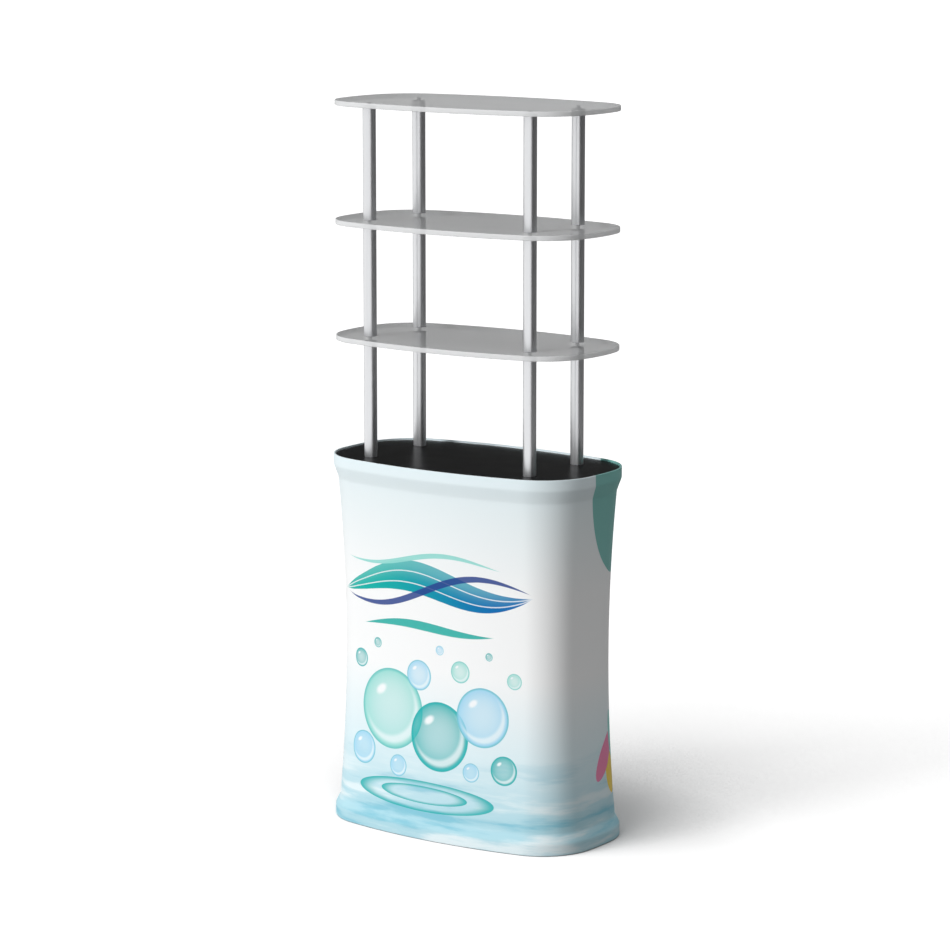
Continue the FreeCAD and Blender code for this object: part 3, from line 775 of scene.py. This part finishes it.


# Stage: a pale floor with a painted shadow beside the stand, a directional sky, a dark card seen in
# reflections, a low sun from the front left

stage = dict(
    floorSize=60.0, floorPale=0.52, floorReflected=0.60, floorBounced=0.25, floorGlow=0.74,
    # Painted shadow on the floor: its glow is dimmed by two occlusion looks, a long one and a short one, from
    # the floor towards the sun
    lookRise=10.0, farReach=3.0, farAngle=-81.0, farSamples=8, farLow=0.46, farHigh=0.97, farPower=1.5,
    nearReach=0.45, nearAngle=-108.0, nearSamples=4, nearLow=0.42, nearHigh=0.92,
    skyBase=0.12, skyTop=0.90, skyLeft=0.22, skySeen=1.0,
    sunAngle=-112.0, sunRise=12.0, sunStrength=2.28, sunSpread=20.0, sunAway=5.0,
    cardStart=-34.0, cardEnd=165.0, cardRadius=3.2, cardLow=0.02, cardTop=4.5, cardSteps=40,
    cardTone=linear(97, 97, 97),
    azimuth=35.37, elevation=10.079, distance=9.8742, aim=0.9838, side=-0.0035, lens=136.79,
)


def stageMesh(name, points, quads, material):
    mesh = bpy.data.meshes.new(name)
    mesh.from_pydata(points, [], quads)
    mesh.materials.append(material)
    piece = bpy.data.objects.new(name, mesh)
    bpy.context.scene.collection.objects.link(piece)
    return piece


def direction(angle, rise):
    # From a compass angle, counted from +X towards +Y, and a rise above the floor
    angle, rise = math.radians(angle), math.radians(rise)
    return Vector((math.cos(angle) * math.cos(rise), math.sin(angle) * math.cos(rise), math.sin(rise)))


def openness(tree, reach, angle, samples):
    # How far the floor is clear of the stand, within a reach and towards an angle; it darkens the floor's glow
    # there as a painted shadow
    facing = node(tree, "ShaderNodeCombineXYZ")
    for axis, value in zip("XYZ", direction(angle, stage["lookRise"])):
        facing.inputs[axis].default_value = value
    made = node(tree, "ShaderNodeAmbientOcclusion", samples=samples)
    made.inputs["Distance"].default_value = reach
    tree.links.new(facing.outputs["Vector"], made.inputs["Normal"])
    return made.outputs["AO"]


def makeFloor():
    # White to the camera and through the shelves, duller in reflections and in bounced light
    material, tree, shader = newMaterial("paleFloor")
    path = node(tree, "ShaderNodeLightPath")
    seen = calc(tree, "MAXIMUM", path.outputs["Is Camera Ray"], path.outputs["Is Transmission Ray"])
    reflected = path.outputs["Is Glossy Ray"]
    bounced = stage["floorBounced"]
    tone = calc(tree, "MULTIPLY_ADD", seen, stage["floorPale"] - bounced, bounced)
    tone = calc(tree, "MULTIPLY_ADD", reflected, stage["floorReflected"] - bounced, tone)
    feed(tree, shader.inputs["Base Color"], tone)
    far = openness(tree, stage["farReach"], stage["farAngle"], stage["farSamples"])
    near = openness(tree, stage["nearReach"], stage["nearAngle"], stage["nearSamples"])
    clear = calc(tree, "POWER", ease(tree, far, stage["farLow"], stage["farHigh"]), stage["farPower"])
    share = calc(tree, "MULTIPLY", clear, ease(tree, near, stage["nearLow"], stage["nearHigh"]))
    # The glow is dimmed by the occlusion share near the stand: a painted shadow on the floor, besides the
    # shadow that the sun and sky cast
    glow = calc(tree, "MULTIPLY", calc(tree, "MAXIMUM", seen, reflected), stage["floorGlow"])
    shader.inputs["Emission Color"].default_value = (1, 1, 1, 1)
    feed(tree, shader.inputs["Emission Strength"], calc(tree, "MULTIPLY", glow, share))
    shader.inputs["Roughness"].default_value = 1.0
    shader.inputs["Specular IOR Level"].default_value = 0.0
    size = stage["floorSize"]
    corners = [(-size, -size, 0), (size, -size, 0), (size, size, 0), (-size, size, 0)]
    stageMesh("floor", corners, [(0, 1, 2, 3)], material)


def makeCard():
    # An upright arc round the back, which only reflections see
    steps = stage["cardSteps"]
    angle = np.radians(np.linspace(stage["cardStart"], stage["cardEnd"], steps))
    x, y = stage["cardRadius"] * np.cos(angle), stage["cardRadius"] * np.sin(angle)
    low = np.stack([x, y, np.full(steps, stage["cardLow"])], -1)
    high = np.stack([x, y, np.full(steps, stage["cardTop"])], -1)
    row = np.arange(steps - 1)
    quads = np.stack([row, row + 1, row + 1 + steps, row + steps], -1)
    material, tree, shader = newMaterial("cardBlack")
    shader.inputs["Base Color"].default_value = stage["cardTone"]
    shader.inputs["Roughness"].default_value = 1.0
    card = stageMesh("darkCard", np.concatenate([low, high]).tolist(), quads.tolist(), material)
    card.visible_camera = False
    card.visible_transmission = False
    card.visible_diffuse = False
    card.visible_shadow = False


def makeWorld():
    # Soft light falls mostly from above and from the side of the sun; other rays see an even white
    world = bpy.data.worlds.new("studio")
    bpy.context.scene.world = world
    world.use_nodes = True
    tree = world.node_tree
    background = tree.nodes["Background"]
    place = node(tree, "ShaderNodeTexCoord")
    parts = node(tree, "ShaderNodeSeparateXYZ")
    tree.links.new(place.outputs["Generated"], parts.inputs["Vector"])
    high = calc(tree, "MAXIMUM", parts.outputs["Z"], 0.0)
    towards = direction(stage["sunAngle"], 0)
    aside = calc(tree, "MULTIPLY_ADD", parts.outputs["X"], towards.x,
                 calc(tree, "MULTIPLY", parts.outputs["Y"], towards.y))
    soft = calc(tree, "MULTIPLY_ADD", calc(tree, "MULTIPLY", high, high), stage["skyTop"], stage["skyBase"])
    soft = calc(tree, "MULTIPLY_ADD", calc(tree, "MAXIMUM", aside, 0.0), stage["skyLeft"], soft)
    path = node(tree, "ShaderNodeLightPath")
    strength = node(tree, "ShaderNodeMix")
    feed(tree, strength.inputs["Factor"], path.outputs["Is Diffuse Ray"])
    strength.inputs["A"].default_value = stage["skySeen"]
    feed(tree, strength.inputs["B"], soft)
    background.inputs["Color"].default_value = (1, 1, 1, 1)
    feed(tree, background.inputs["Strength"], strength.outputs["Result"])


def makeSun():
    light = bpy.data.lights.new("sun", "SUN")
    light.energy = stage["sunStrength"]
    light.angle = math.radians(stage["sunSpread"])
    sun = bpy.data.objects.new("sun", light)
    bpy.context.scene.collection.objects.link(sun)
    towards = direction(stage["sunAngle"], stage["sunRise"])
    sun.location = towards * stage["sunAway"]
    sun.visible_glossy = False
    sun.rotation_mode = "QUATERNION"
    sun.rotation_quaternion = towards.to_track_quat("Z", "Y")


def makeCamera():
    # The camera looks at a point beside the stand's axis; azimuth counts from the front
    back = direction(stage["azimuth"] - 90, stage["elevation"])
    right = direction(stage["azimuth"], 0)
    up = back.cross(right)
    data = bpy.data.cameras.new("camera")
    data.sensor_width = 36.0
    data.lens = stage["lens"]
    camera = bpy.data.objects.new("camera", data)
    bpy.context.scene.collection.objects.link(camera)
    place = Vector((0, 0, stage["aim"])) + right * stage["side"] + back * stage["distance"]
    camera.matrix_world = Matrix.Translation(place) @ Matrix((right, up, back)).transposed().to_4x4()
    bpy.context.scene.camera = camera


makeSleeve()
makePanel()
makeShelves()
makePosts()
finishHidden()
makeFloor()
makeCard()
makeWorld()
makeSun()
makeCamera()
bpy.context.scene.view_settings.view_transform = "Standard"
print("stage set")
